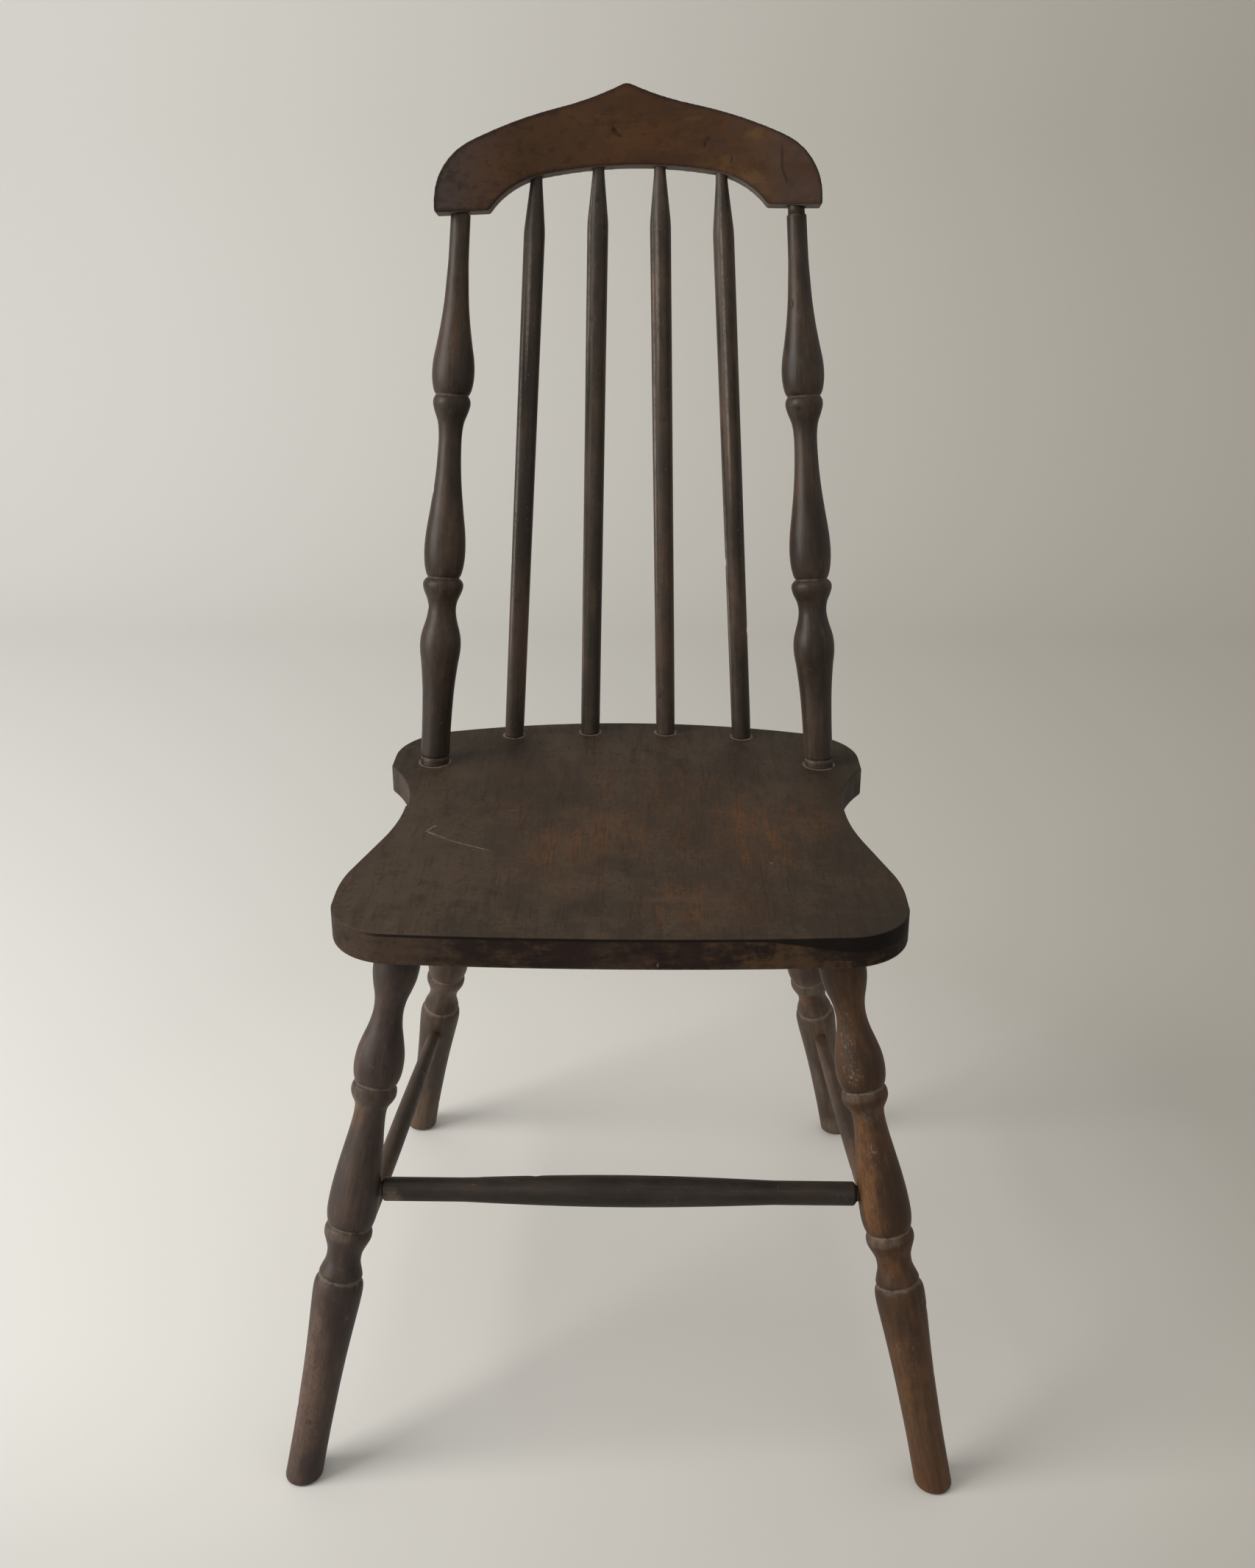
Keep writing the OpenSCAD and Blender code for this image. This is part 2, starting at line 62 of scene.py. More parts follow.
class Coat:
    """A socket in a material's nodes. Arithmetic on it adds Math nodes."""

    def __init__(self, tree, socket=None):
        self.tree = tree
        self.socket = socket

    def node(self, kind, values=(), out=0, **settings):
        made = self.tree.nodes.new(kind)
        for key, value in settings.items():
            setattr(made, key, value)
        for key, value in dict(values).items():
            if isinstance(value, Coat):
                self.tree.links.new(value.socket, made.inputs[key])
            else:
                made.inputs[key].default_value = value
        return Coat(self.tree, made.outputs[out])

    def maths(self, operation, other=0):
        return self.node("ShaderNodeMath", {0: self, 1: other}, operation=operation)

    def __add__(self, other):
        return self.maths("ADD", other)

    def __sub__(self, other):
        return self.maths("SUBTRACT", other)

    def __rsub__(self, other):
        return self.node("ShaderNodeMath", {0: other, 1: self}, operation="SUBTRACT")

    def __mul__(self, other):
        return self.maths("MULTIPLY", other)

    def __truediv__(self, other):
        return self.maths("DIVIDE", other)

    def __rtruediv__(self, other):
        return self.node("ShaderNodeMath", {0: other, 1: self}, operation="DIVIDE")

    def __abs__(self):
        return self.maths("ABSOLUTE")

    def root(self):
        return self.maths("SQRT")

    def at_least(self, other):
        return self.maths("MAXIMUM", other)

    __radd__ = __add__
    __rmul__ = __mul__


def new_material(name):
    material = bpy.data.materials.new(name)
    material.use_nodes = True
    return material, Coat(material.node_tree)


def rise(value, low, high):
    """0 below low, 1 above high, smooth between. With low above high it falls instead."""
    return value.node(
        "ShaderNodeMapRange", {0: value, 1: low, 2: high}, interpolation_type="SMOOTHSTEP"
    )


def mixed(mask, a, b):
    """The colour a where the mask is 0, and b where it is 1."""
    values = {0: mask, 6: (*a, 1) if isinstance(a, tuple) else a}
    values[7] = (*b, 1) if isinstance(b, tuple) else b
    return mask.node("ShaderNodeMix", values, out=2, data_type="RGBA")


def parts_of(vector):
    return [vector.node("ShaderNodeSeparateXYZ", {0: vector}, out=i) for i in range(3)]


def strongest(masks):
    """The greatest of several masks at each point."""
    top = masks[0]
    for mask in masks[1:]:
        top = top.at_least(mask)
    return top


def cloud(vector, scale, detail, rough, stretch=(1, 1, 1), shift=(0, 0, 0)):
    """Soft noise between about 0.25 and 0.75, over a stretched space."""
    placed = vector.node("ShaderNodeMapping", {0: vector, 1: shift, 3: stretch})
    values = {"Vector": placed, "Scale": scale, "Detail": detail, "Roughness": rough}
    return vector.node("ShaderNodeTexNoise", values)


def finish(material, colour, roughness, sheen, height, strength, depth):
    """Gives a material its colour, roughness and relief. sheen is how strongly it reflects."""
    shader = material.node_tree.nodes["Principled BSDF"]
    link = material.node_tree.links.new
    link(colour.socket, shader.inputs["Base Color"])
    link(roughness.socket, shader.inputs["Roughness"])
    shader.inputs["Specular IOR Level"].default_value = sheen
    relief = {"Height": height, "Strength": strength, "Distance": depth}
    bump = height.node("ShaderNodeBump", relief)
    link(bump.socket, shader.inputs["Normal"])


paper, sheet = new_material("backdrop_paper")
room = sheet.node("ShaderNodeTexCoord", out=3)
room_x, room_y, _ = parts_of(room)
# The paper is painted lighter on the left and darker on the right as the window light falls, painted
# lighter on the floor in front of the chair, painted darker nearest the camera, and given a painted pool
# of light under the chair.
across = room_x / (room_y + 1.6).at_least(1.0)
tone = mixed(rise(across, -0.50, 0.52), (0.73, 0.725, 0.70), (0.465, 0.44, 0.385))
tone = mixed(rise(room_y, 0.9, 0.0) * 0.12, tone, (0.92, 0.90, 0.86))
tone = mixed(rise(room_y, -0.1, -0.6) * 0.60, tone, (0.42, 0.408, 0.378))
under_chair = room_x * room_x + (room_y - 0.05) * (room_y - 0.05)
tone = mixed(rise(under_chair, 0.45, 0.02) * 0.30, tone, (0.90, 0.88, 0.84))
paper_shader = paper.node_tree.nodes["Principled BSDF"]
paper.node_tree.links.new(tone.socket, paper_shader.inputs["Base Color"])
paper_shader.inputs["Roughness"].default_value = 0.95

SHEET_W = 9
SHEET_FRONT = -4.5
SWEEP_Y = 1.9
SWEEP_R = 0.9
SWEEP_STEPS = 24
WALL_H = 3.5
bpy.ops.mesh.primitive_plane_add(size=1)
backdrop = bpy.context.object
backdrop.name = "backdrop"
for corner in backdrop.data.vertices:
    corner.co = Vector((corner.co.x * SHEET_W, SWEEP_Y if corner.co.y > 0 else SHEET_FRONT, 0))
bpy.ops.object.mode_set(mode="EDIT")
bpy.ops.mesh.select_all(action="DESELECT")
bpy.ops.object.mode_set(mode="OBJECT")
for edge in backdrop.data.edges:
    edge.select = all(backdrop.data.vertices[i].co.y > SWEEP_Y - 0.01 for i in edge.vertices)
bpy.ops.object.mode_set(mode="EDIT")
bpy.ops.mesh.select_mode(type="EDGE")
length = SWEEP_R * math.pi / 2 / SWEEP_STEPS
for step in range(SWEEP_STEPS):
    turn = (step + 0.5) * math.pi / 2 / SWEEP_STEPS
    bpy.ops.mesh.extrude_region_move(
        TRANSFORM_OT_translate={"value": (0, length * math.cos(turn), length * math.sin(turn))}
    )
bpy.ops.mesh.extrude_region_move(TRANSFORM_OT_translate={"value": (0, 0, WALL_H)})
bpy.ops.object.mode_set(mode="OBJECT")
bpy.ops.object.shade_smooth()
backdrop.data.materials.append(paper)


def window(name, place, aim, width, height, power, warmth):
    """A soft rectangular lamp at place, facing aim."""
    bpy.ops.object.light_add(type="AREA", location=place)
    lamp = bpy.context.object
    lamp.name = name
    lamp.rotation_euler = (Vector(aim) - Vector(place)).to_track_quat("-Z", "Y").to_euler()
    lamp.data.shape = "RECTANGLE"
    lamp.data.size = width
    lamp.data.size_y = height
    lamp.data.energy = power
    lamp.data.color = warmth


window("window_light", (-2.6, -1.0, 1.7), (0, 0, 0.5), 1.8, 2.2, 84, (1.0, 0.98, 0.95))
window("ceiling_light", (-0.3, 1.2, 3.4), (0, 0.6, 0.4), 2.6, 2.2, 8, (1.0, 0.99, 0.97))
world = bpy.data.worlds.new("room_air")
scene.world = world
world.use_nodes = True
world.node_tree.nodes["Background"].inputs["Color"].default_value = (1, 0.985, 0.96, 1)
world.node_tree.nodes["Background"].inputs["Strength"].default_value = 0.57


# Legs. Four hardwood legs turned on a lathe to one pattern: a bulb under the seat, two
# vases, two beads and a long tapered foot. Each is driven into a socket bored at an angle.
def read(mesh, word="co"):
    """Each vertex's place, or another of its three-number values, as the rows of an array."""
    flat = np.empty(len(mesh.vertices) * 3)
    mesh.vertices.foreach_get(word, flat)
    return flat.reshape(-1, 3)


def store(mesh, word, values):
    """Keeps one number for each vertex, for the materials to read."""
    kept = mesh.attributes.new(word, "FLOAT", "POINT")
    kept.data.foreach_set("value", values.astype(np.float32))


def stored(coat, word):
    return coat.node("ShaderNodeAttribute", out=2, attribute_name=word)


def corners(node):
    return np.unique(read(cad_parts[node].data).round(6), axis=0)


RING_GAP = 0.00003
CAP_DEPTH = 0.0002


def lathe_axis(node, on_floor):
    """The start, direction and length of a turned piece, from the rims of its two ends.

    It runs upwards, or to the right where it is level."""
    points = corners(node)
    middle = points.mean(axis=0)
    run = np.linalg.svd(points - middle, full_matrices=False)[2][0]
    run = run * (1 if run[2] + 0.001 * run[0] > 0 else -1)
    for _ in range(3):
        place = (points - middle) @ run
        low = points[points[:, 2] < CAP_DEPTH] if on_floor else points[place < place.min() + CAP_DEPTH]
        start = (low.min(axis=0) + low.max(axis=0)) / 2 if on_floor else low.mean(axis=0)
        end = points[place > place.max() - CAP_DEPTH].mean(axis=0)
        run = (end - start) / np.linalg.norm(end - start)
    return start, run, np.linalg.norm(end - start)


def gauge_of(node, start, run):
    """The turner's profile: distance along the axis and radius of each ring of the piece."""
    points = corners(node) - start
    place = points @ run
    radius = np.linalg.norm(points - np.outer(place, run), axis=1)
    order = np.argsort(place)
    groups = np.split(order, np.nonzero(np.diff(place[order]) > RING_GAP)[0] + 1)
    rings = [(place[g].mean(), np.median(radius[g])) for g in groups if len(g) >= 12]
    return np.array([r for r in rings if r[1] > 0.001])


def eased(marks, places):
    """Radii at the given places, on a smooth curve through the marks that never overshoots them."""
    s, r = marks[:, 0], marks[:, 1]
    gap = np.diff(s)
    slope = np.diff(r) / gap
    product = slope[:-1] * slope[1:]
    inner = np.where(product > 0, 2 * product / np.where(product > 0, slope[:-1] + slope[1:], 1), 0)
    lean = np.concatenate([[slope[0]], inner, [slope[-1]]])
    i = np.clip(np.searchsorted(s, places) - 1, 0, len(gap) - 1)
    t = np.clip((places - s[i]) / gap[i], 0, 1)
    h = gap[i]
    return (
        (2 * t**3 - 3 * t**2 + 1) * r[i]
        + (t**3 - 2 * t**2 + t) * h * lean[i]
        + (3 * t**2 - 2 * t**3) * r[i + 1]
        + (t**3 - t**2) * h * lean[i + 1]
    )


def blurred(values, count):
    """A running mean over count samples on each side."""
    padded = np.concatenate([[values[0]] * count, values, [values[-1]] * count])
    return np.convolve(padded, np.ones(2 * count + 1) / (2 * count + 1), "valid")


def side_of(run):
    """Two directions across an upright axis: towards the chair's front, and to its right.

    Where the axis itself points to the front or back, the first is upwards instead."""
    front = np.array([0, -1, 0]) - run * -run[1]
    if np.linalg.norm(front) < 0.3:
        front = np.array([0, 0, 1]) - run * run[2]
    front = front / np.linalg.norm(front)
    return front, np.cross(run, front)


def spun(name, start, run, rows, steps):
    """A wire with the rows' places and radii, spun round the axis into a closed solid."""
    bpy.ops.object.select_all(action="DESELECT")
    bpy.ops.mesh.primitive_circle_add(vertices=len(rows), radius=0.01, fill_type="NOTHING")
    piece = bpy.context.object
    piece.name = name
    piece.data.name = name
    out = side_of(run)[0]
    for vertex, (place, radius) in zip(piece.data.vertices, rows):
        vertex.co = Vector(start + run * place + out * radius)
    last = len(rows) - 1
    for edge in piece.data.edges:
        edge.select = set(edge.vertices) == {0, last}
    for vertex in piece.data.vertices:
        vertex.select = False
    bpy.ops.object.mode_set(mode="EDIT")
    bpy.ops.mesh.select_mode(type="EDGE")
    bpy.ops.mesh.delete(type="EDGE")
    bpy.ops.mesh.select_all(action="SELECT")
    bpy.ops.mesh.spin(steps=steps, angle=2 * math.pi, center=tuple(start), axis=tuple(run))
    bpy.ops.mesh.select_all(action="SELECT")
    bpy.ops.mesh.remove_doubles(threshold=0.00001)
    bpy.ops.mesh.normals_make_consistent(inside=False)
    bpy.ops.object.mode_set(mode="OBJECT")
    bpy.ops.object.shade_smooth()
    return piece


FINE = 0.0005
GROOVE_SPAN = 5
GROOVE_DEEP = 0.0010
PROUD_HIGH = 0.0004
CORE_R = 0.004
DENT_MARGIN = 0.03
DENT_FULL = 0.0006
WOBBLE = 0.00012


def turned(name, start, run, rows, steps, planes=(), lines=(), *, dents, seed):
    """Spins a piece, tips its ends to the faces that they stand on, and ages the surface.

    planes are (place on the axis, reach) of each level face that an end is cut to, and lines
    are the incised lines. The mesh keeps each point's place on the lathe, how deep in a
    groove or how proud it is, and its dents."""
    rows = np.array(rows)
    piece = spun(name, start, run, rows, steps)
    points = read(piece.data) - start
    front, right = side_of(run)
    place = points @ run
    x, y = points @ front, points @ right
    radius = np.hypot(x, y)
    angle = np.arctan2(y, x)
    even = np.arange(rows[0, 0], rows[-1, 0], FINE)
    keep = rows[:, 1] > CORE_R
    profile = np.interp(even, rows[keep, 0], rows[keep, 1])
    mean = blurred(profile, GROOVE_SPAN)
    deep = (np.interp(place, even, mean) - radius) / GROOVE_DEEP
    proud = -deep * GROOVE_DEEP / PROUD_HIGH
    for line, _, half in lines:
        deep = np.maximum(deep, np.exp(-(((place - line) / (half + 0.0005)) ** 2)))
    wear = np.zeros(len(place))
    lot = np.random.RandomState(seed)
    for _ in range(dents):
        at = lot.uniform(rows[0, 0] + DENT_MARGIN, rows[-1, 0] - DENT_MARGIN)
        turn = lot.uniform(-math.pi, math.pi)
        size = lot.uniform(0.0012, 0.0035)
        far = np.hypot(place - at, (np.abs(angle - turn + math.pi) % (2 * math.pi) - math.pi) * radius)
        wear += lot.uniform(0.15, 0.5) * size * np.exp(-((far / size) ** 2)) * 0.6
    spots = zip(x * 45, y * 45, place * 14 + seed)
    rough = np.array([noise.noise(Vector(spot)) for spot in spots])
    radius = radius - np.where(radius > CORE_R, wear + WOBBLE * (rough + 1) / 2, 0)
    for level, reach in planes:
        pull = np.clip(1 - abs(place - level) / reach, 0, 1)
        tip = -radius * (np.cos(angle) * front[2] + np.sin(angle) * right[2]) / run[2]
        place = place + pull * tip
    points = np.outer(place, run) + np.outer(radius * np.cos(angle), front)
    points += np.outer(radius * np.sin(angle), right) + start
    piece.data.vertices.foreach_set("co", points.ravel())
    lathe = np.stack([radius * np.cos(angle), radius * np.sin(angle), place], axis=1)
    piece.data.attributes.new("lathe", "FLOAT_VECTOR", "POINT").data.foreach_set("vector", lathe.ravel())
    for word, value in (("groove", deep), ("proud", proud), ("dent", wear / DENT_FULL)):
        store(piece.data, word, np.clip(value, 0, 1))
    piece.data.update()
    return piece


ROW = 0.001
FOOT_ROUND = 0.0035
TENON_EDGE = 0.001
ROUND_STEPS = 72
LEG_BODY = 0.434
LEG_END = 0.006
LEG_RUN_ON = 0.01
LEG_TIP = 0.03
LEG_LINES = ((0.1674, 0.0013, 0.0015), (0.2095, 0.0004, 0.0009), (0.323, 0.0004, 0.0009))


def body_rows(marks, low, high, lines):
    """Rows every millimetre from low to high, closer together at each incised line.

    lines are (place, depth, half width) of the turner's cuts with the chisel's point."""
    near = [line + step for line, _, _ in lines for step in (-0.0014, -0.0007, 0, 0.0007, 0.0014)]
    even = [p for p in np.arange(low, high - ROW / 2, ROW) if all(abs(p - n) > ROW / 3 for n in near)]
    places = np.sort(np.array(even + near + [high]))
    radii = eased(marks, places)
    for line, depth, half in lines:
        radii = radii - depth * np.exp(-(((places - line) / half) ** 2))
    return list(zip(places, radii))


def leg_mesh(name, node, seed):
    """A leg as spun, in the place of its node. The lines' places are for a body LEG_BODY long."""
    start, run, length = lathe_axis(node, on_floor=True)
    marks = gauge_of(node, start, run)
    seat_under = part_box("seat")[0].z
    top = (seat_under - start[2]) / run[2]
    tenon = marks[-1][1]
    body = marks[(marks[:, 0] < top - LEG_END) & (marks[:, 0] > LEG_END)]
    slope = (body[-1, 1] - body[-2, 1]) / (body[-1, 0] - body[-2, 0])
    low = [[-LEG_RUN_ON, body[0, 1]]]
    past = top + LEG_RUN_ON
    high = [[past, body[-1, 1] + slope * (past - body[-1, 0]) * 0.8]]
    marks = np.concatenate([low, body, high])
    foot = body[0, 1]
    rows = [(0, 0), (0, foot - FOOT_ROUND)]
    for step in range(1, 6):
        turn = math.radians(90 - 18 * step)
        rows.append((FOOT_ROUND * (1 - math.sin(turn)), foot - FOOT_ROUND * (1 - math.cos(turn))))
    scale = top / LEG_BODY
    lines = [(place * scale, depth, half) for place, depth, half in LEG_LINES]
    rows += body_rows(marks, FOOT_ROUND + ROW, top, lines)
    rows += [(top, tenon), (length - TENON_EDGE, tenon), (length, tenon - TENON_EDGE), (length, 0)]
    planes = [(0, LEG_TIP), (top, LEG_TIP)]
    piece = turned(name, start, run, rows, ROUND_STEPS, planes, lines, dents=14, seed=seed)
    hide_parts(node)
    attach(piece, "root")
    return piece


def patch(lathe, at, half, facing, width):
    """A soft-edged patch on a turned piece: at a place along it, on the side that it faces.

    facing is in degrees from the front, positive to the right; half and width are in metres."""
    x, y, s = parts_of(lathe)
    turn = math.radians(facing)
    towards = x * math.cos(turn) + y * math.sin(turn)
    beside = y * math.cos(turn) - x * math.sin(turn)
    along = (s - at) * (1 / half)
    over = beside * (1 / width)
    near = rise((along * along + over * over).root(), 1.1, 0.45)
    return near * rise(towards, -0.002, 0.004)


def shaded(colour, amount):
    return tuple(amount * part for part in colour)


DUST = (0.170, 0.135, 0.102)
CHIP = (0.17, 0.125, 0.088)
FLECK = (0.200, 0.140, 0.095)


def turned_finish(name, shift, tones, spots_and_highlights, dust, gloss=0.5, flecks=0.3, sheen=0.22):
    """Old stained turned wood. tones are the dark, mid and warm colours of the stain.

    bare lists (place, half length, facing, half width, strength, colour) of the worn spots and of the
    painted highlights.
    gloss is the roughness of the finish, and sheen is how strongly it reflects."""
    material, coat = new_material(name)
    lathe = coat.node("ShaderNodeAttribute", out=1, attribute_name="lathe")
    groove, proud, dent = [stored(coat, word) for word in ("groove", "proud", "dent")]
    dark, mid, warm = tones
    broad = cloud(lathe, 22, 3, 0.55, (1, 1, 0.5), shift)
    fibre = cloud(lathe, 520, 4, 0.62, (1, 1, 0.06), shift)
    streak = cloud(lathe, 200, 3, 0.6, (1, 1, 0.07), shift)
    mottle = cloud(lathe, 120, 4, 0.65, (1, 1, 0.6), shift)
    speck = cloud(lathe, 700, 3, 0.55, (1, 1, 0.45), shift)
    blend = broad * 0.55 + streak * 0.25 + mottle * 0.2
    colour = mixed(rise(blend, 0.40, 0.60), dark, mid)
    colour = mixed(rise(blend + (streak - 0.5) * 0.3, 0.52, 0.70) * 0.7, colour, warm)
    for at, half, facing, width, strength, shade in spots_and_highlights:
        ragged = rise(mottle * 0.5 + streak * 0.3 + speck * 0.5, 0.50, 0.78) * 0.7 + 0.3
        if shade == FLECK:
            ragged = rise(speck * 0.8 + mottle * 0.3, 0.60, 0.66) + 0.08
        colour = mixed(patch(lathe, at, half, facing, width) * ragged * strength, colour, shade)
    colour = mixed(rise(fibre, 0.50, 0.70) * 0.34, colour, shaded(dark, 0.45))
    dusty = rise(groove + (mottle - 0.5) * 2.0 + (speck - 0.5) * 0.8, 0.30, 1.10) * dust
    colour = mixed(dusty * 0.8, colour, DUST)
    rubbed = rise(proud + (mottle - 0.5) * 1.2, 0.55, 1.2) * 0.35
    colour = mixed(rubbed, colour, warm)
    colour = mixed(rise(dent, 0.1, 0.8) * 0.4, colour, shaded(dark, 0.5))
    chips = rise(speck, 0.66, 0.70) * rise(mottle, 0.42, 0.6) * flecks
    colour = mixed(chips, colour, CHIP)
    dull = (mottle - 0.5) * 0.35 + (streak - 0.5) * 0.2 + dusty * 0.35 + gloss
    height = fibre * 0.5 + streak * 0.6 + mottle * 0.35 - chips * 0.8
    finish(material, colour, dull, sheen, height, strength=0.35, depth=0.0007)
    return material


LEG_TONES = ((0.034, 0.023, 0.019), (0.058, 0.039, 0.031), (0.090, 0.053, 0.036))
WORN_TONES = ((0.039, 0.020, 0.010), (0.078, 0.037, 0.017), (0.110, 0.048, 0.020))
REAR_TONES = ((0.044, 0.029, 0.021), (0.084, 0.057, 0.040), (0.115, 0.068, 0.040))
BARE = (0.165, 0.073, 0.026)
SCUFF = (0.165, 0.120, 0.085)
FADED = (0.125, 0.078, 0.055)
legs = {
    "front_left": (LEG_TONES, 0.75, [
        (0.085, 0.085, -40, 0.012, 0.90, FADED),
        (0.060, 0.050, 10, 0.008, 0.45, FADED),
        (0.300, 0.014, -50, 0.008, 0.40, BARE),
        (0.310, 0.010, -35, 0.012, 0.35, SCUFF),
        (0.205, 0.006, -30, 0.016, 0.35, SCUFF),
        (0.350, 0.030, -60, 0.006, 0.35, FADED),
    ]),
    "front_right": (WORN_TONES, 0.8, [
        (0.262, 0.056, -42, 0.011, 0.85, BARE),
        (0.225, 0.016, -30, 0.012, 0.40, BARE),
        (0.362, 0.036, -30, 0.007, 0.50, FLECK),
        (0.340, 0.014, -25, 0.010, 0.45, FLECK),
        (0.275, 0.010, -10, 0.006, 0.60, FLECK),
        (0.206, 0.005, -30, 0.018, 0.45, SCUFF),
        (0.320, 0.004, -30, 0.018, 0.35, SCUFF),
        (0.305, 0.008, 5, 0.010, 0.40, SCUFF),
        (0.186, 0.012, -25, 0.010, 0.45, BARE),
        (0.122, 0.005, -15, 0.010, 0.55, FLECK),
        (0.100, 0.060, -40, 0.009, 0.30, BARE),
        (0.085, 0.075, 0, 0.016, 0.35, (0.125, 0.070, 0.036)),
    ]),
    "rear_left": (REAR_TONES, 1.0, [
        (0.200, 0.010, 10, 0.018, 0.45, SCUFF),
        (0.320, 0.008, 0, 0.018, 0.45, SCUFF),
    ]),
    # The rear right leg's colours are the rear legs' colours painted 1.3 times lighter: painted light.
    "rear_right": ([shaded(tone, 1.3) for tone in REAR_TONES], 1.3, [
        (0.205, 0.010, -10, 0.018, 0.55, SCUFF),
        (0.145, 0.018, 10, 0.012, 0.55, (0.18, 0.115, 0.065)),
        (0.190, 0.014, -40, 0.010, 0.60, BARE),
        (0.320, 0.008, 0, 0.018, 0.50, SCUFF),
        (0.012, 0.016, -20, 0.014, 0.60, SCUFF),
        (0.080, 0.030, -40, 0.006, 0.40, SCUFF),
    ]),
}
for number, (side, (tones, dust, spots_and_highlights)) in enumerate(legs.items()):
    leg = leg_mesh("turned_leg_" + side, "leg_" + side, seed=11 + number)
    leg.data.materials.append(
        turned_finish("leg_wood_" + side, (number * 0.7, 0, number * 1.3), tones, spots_and_highlights, dust)
    )


# Back posts. Two turned posts, each a base, a long vase between beads and a slim neck,
# driven into the seat and up into the crest rail, whose right end stands a little high.
POST_BODY = 0.466
POST_LINES = (0.006, 0.163, 0.3175)
POST_EDGE = 0.0008
POST_TIP = 0.02
NECK_ROW = 0.004


def post_mesh(name, node, seed):
    """A post as spun, in the place of its node. Both have the right one's profile."""
    start, run, length = lathe_axis(node, on_floor=False)
    marks = gauge_of("back_post_right", *lathe_axis("back_post_right", on_floor=False)[:2])
    seat_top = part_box("seat")[1].z
    base = (seat_top - start[2]) / run[2]
    foot_tenon = marks[0][1]
    neck_tenon = marks[-1][1]
    body = marks[(marks[:, 0] > base + 0.003) & (marks[:, 1] > neck_tenon + 0.0005)]
    shoulder = body[-1, 0]
    marks = np.concatenate([[[base - 0.01, body[0, 1]]], body])
    rows = [(0, 0), (0, foot_tenon - TENON_EDGE), (TENON_EDGE, foot_tenon), (base, foot_tenon)]
    scale = (shoulder - base) / POST_BODY
    lines = [(base + place * scale, 0.0004, 0.0008) for place in POST_LINES]
    rows += body_rows(marks, base, shoulder - POST_EDGE, lines)
    rows += [(shoulder, body[-1, 1] - POST_EDGE), (shoulder, neck_tenon)]
    rows += [(shoulder + NECK_ROW, neck_tenon), (length, neck_tenon), (length, 0)]
    planes = [(base, POST_TIP)]
    piece = turned(name, start, run, rows, ROUND_STEPS, planes, lines, dents=8, seed=seed)
    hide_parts(node)
    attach(piece, "root")
    return piece


POST_TONES = ((0.022, 0.014, 0.009), (0.044, 0.029, 0.019), (0.078, 0.043, 0.026))
# Each post's spot is a painted highlight: a lighter streak on its left side, where the window light
# falls.
posts = {
    "left": [(0.46, 0.05, -60, 0.008, 0.35, (0.075, 0.052, 0.038))],
    "right": [(0.30, 0.05, -60, 0.008, 0.35, (0.085, 0.062, 0.046))],
}
for number, (side, spots_and_highlights) in enumerate(posts.items()):
    post = post_mesh("turned_post_" + side, "back_post_" + side, seed=31 + number)
    post.data.materials.append(
        turned_finish(
            "post_wood_" + side, (number * 0.9, 0.4, number * 1.1), POST_TONES, spots_and_highlights,
            dust=0.35, gloss=0.42, flecks=0.25, sheen=0.24,
        )
    )


# Spindles. Four plain dowels, slightly swelled towards the top and then tapered to a thin
# end. They stand in the seat behind the posts and run up into the crest rail's arch.
SPINDLE_ROW = 0.0015
SPINDLE_STEPS = 48
SPINDLE_TIP = 0.01
SPINDLE_TONES = ((0.030, 0.021, 0.014), (0.062, 0.041, 0.028), (0.105, 0.056, 0.035))
# Pale stripes down the spindles' left sides: rubbed wear, and painted highlights where the window light
# falls.
RUBBED_AND_HIGHLIT = (0.230, 0.190, 0.155)
spindle_rubs_and_highlights = {
    1: [(0.24, 0.20, -45, 0.0016, 0.90, RUBBED_AND_HIGHLIT), (0.40, 0.08, -15, 0.0018, 0.55, RUBBED_AND_HIGHLIT)],
    2: [(0.42, 0.12, -50, 0.0018, 0.75, RUBBED_AND_HIGHLIT), (0.12, 0.10, -60, 0.0014, 0.60, RUBBED_AND_HIGHLIT)],
    3: [(0.30, 0.22, -50, 0.0015, 0.95, RUBBED_AND_HIGHLIT), (0.41, 0.09, -20, 0.0016, 0.55, RUBBED_AND_HIGHLIT)],
    4: [(0.36, 0.16, -15, 0.0015, 0.65, RUBBED_AND_HIGHLIT), (0.16, 0.12, -60, 0.0015, 0.60, RUBBED_AND_HIGHLIT)],
}
for number, rubs in spindle_rubs_and_highlights.items():
    node = f"spindle_{number}"
    start, run, length = lathe_axis(node, on_floor=False)
    marks = gauge_of(node, start, run)
    base = (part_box("seat")[1].z - start[2]) / run[2]
    tenon = marks[0][1]
    body = marks[marks[:, 0] > base + 0.001]
    low = np.array([[base, body[0, 1] - 0.0004]])
    marks = np.concatenate([low, body])
    places = np.arange(base, length, SPINDLE_ROW)
    radii = blurred(np.interp(places, marks[:, 0], marks[:, 1]), 3)
    rows = [(0, 0), (0, tenon - TENON_EDGE), (TENON_EDGE, tenon), (base, tenon)]
    rows += list(zip(places, radii)) + [(length, marks[-1][1]), (length, 0)]
    planes = [(base, SPINDLE_TIP)]
    dowel = turned(
        f"dowel_{number}", start, run, rows, SPINDLE_STEPS, planes, dents=5, seed=50 + number
    )
    dowel.data.materials.append(
        turned_finish(
            f"spindle_wood_{number}", (number * 0.6, 0.2, number * 0.8), SPINDLE_TONES, rubs,
            dust=0.3, gloss=0.44, flecks=0.8, sheen=0.26,
        )
    )
    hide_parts(node)
    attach(dowel, "root")


